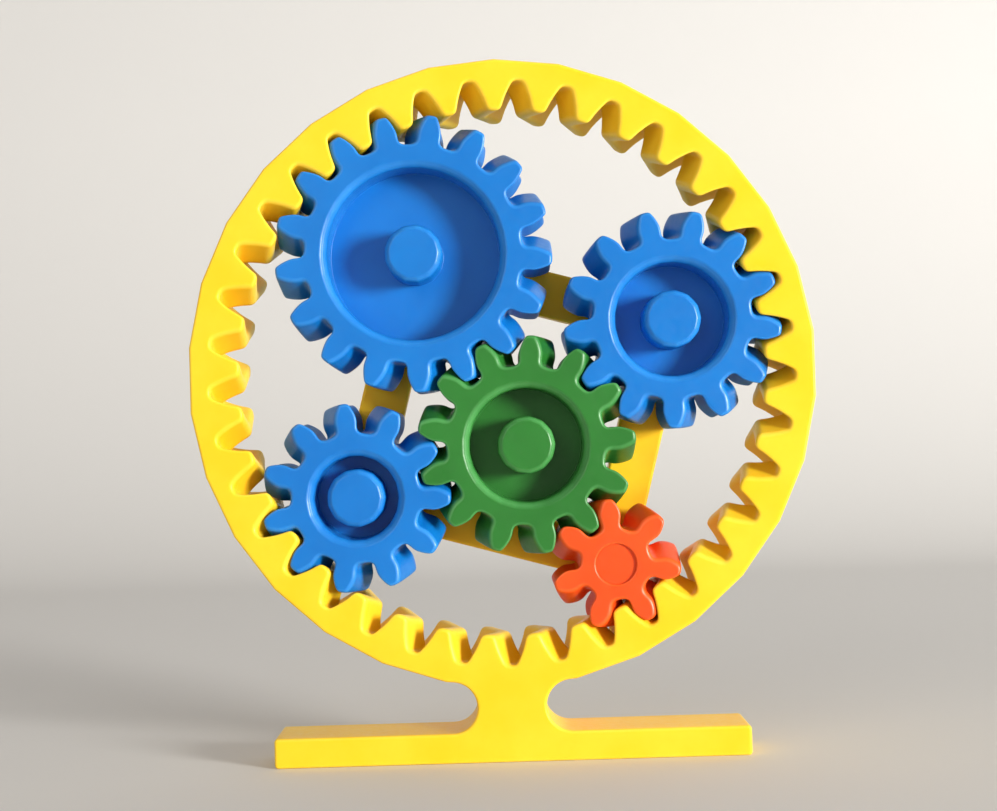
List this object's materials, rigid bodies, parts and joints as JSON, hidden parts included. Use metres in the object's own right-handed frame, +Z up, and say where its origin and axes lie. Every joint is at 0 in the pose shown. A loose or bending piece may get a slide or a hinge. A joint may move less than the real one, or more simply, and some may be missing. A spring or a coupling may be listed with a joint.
{
  "type": "planetary gear set",
  "caption": "Eccentric planetary gear set: a fixed internal ring gear on a foot, an off-centre sun gear and unequal herringbone planets on an open carrier frame.",
  "frame": {"origin": "middle of the foot's underside, below the ring's centre and midway through the gears' thickness", "axes": "+X to the right, +Y to the back where the carrier is, +Z up; the gears' axes lie along Y"},
  "size_m": [0.0842, 0.0134, 0.0946],
  "materials": {
    "yellow_plastic": "satin 3D-printed plastic",
    "green_plastic": "satin 3D-printed plastic",
    "blue_plastic": "satin 3D-printed plastic",
    "red_plastic": "satin 3D-printed plastic"
  },
  "bodies": {
    "frame": {"ring_gear_stand": "yellow_plastic"},
    "carrier": {"planet_carrier": "yellow_plastic"},
    "sun": {"sun_gear": "green_plastic"},
    "large_planet": {"large_planet_gear": "blue_plastic"},
    "medium_planet": {"medium_planet_gear": "blue_plastic"},
    "small_planet": {"small_planet_gear": "blue_plastic"},
    "pinion": {"pinion_gear": "red_plastic"}
  },
  "joints": [
    {"name": "carrier_spin", "type": "hinge", "parent": "frame", "child": "carrier", "pos_m": [0, 0, 0.0523], "axis": [0, -1, 0], "continuous": true},
    {"name": "sun_spin", "type": "hinge", "parent": "carrier", "child": "sun", "pos_m": [0.00294, 0, 0.04236], "axis": [0, -1, 0], "continuous": true},
    {"name": "large_planet_spin", "type": "hinge", "parent": "carrier", "child": "large_planet", "pos_m": [-0.01156, 0, 0.06862], "axis": [0, -1, 0], "continuous": true},
    {"name": "medium_planet_spin", "type": "hinge", "parent": "carrier", "child": "medium_planet", "pos_m": [0.02311, 0, 0.05877], "axis": [0, -1, 0], "continuous": true},
    {"name": "small_planet_spin", "type": "hinge", "parent": "carrier", "child": "small_planet", "pos_m": [-0.02017, 0, 0.03589], "axis": [0, -1, 0], "continuous": true},
    {"name": "pinion_spin", "type": "hinge", "parent": "carrier", "child": "pinion", "pos_m": [0.0145, 0, 0.02604], "axis": [0, -1, 0], "continuous": true}
  ],
  "couplings": [
    {"joint": "sun_spin", "follows": "carrier_spin", "ratio": 2.8462},
    {"joint": "large_planet_spin", "follows": "carrier_spin", "ratio": -2.1765},
    {"joint": "medium_planet_spin", "follows": "carrier_spin", "ratio": -2.8462},
    {"joint": "small_planet_spin", "follows": "carrier_spin", "ratio": -3.3636},
    {"joint": "pinion_spin", "follows": "carrier_spin", "ratio": -5.2857}
  ]
}
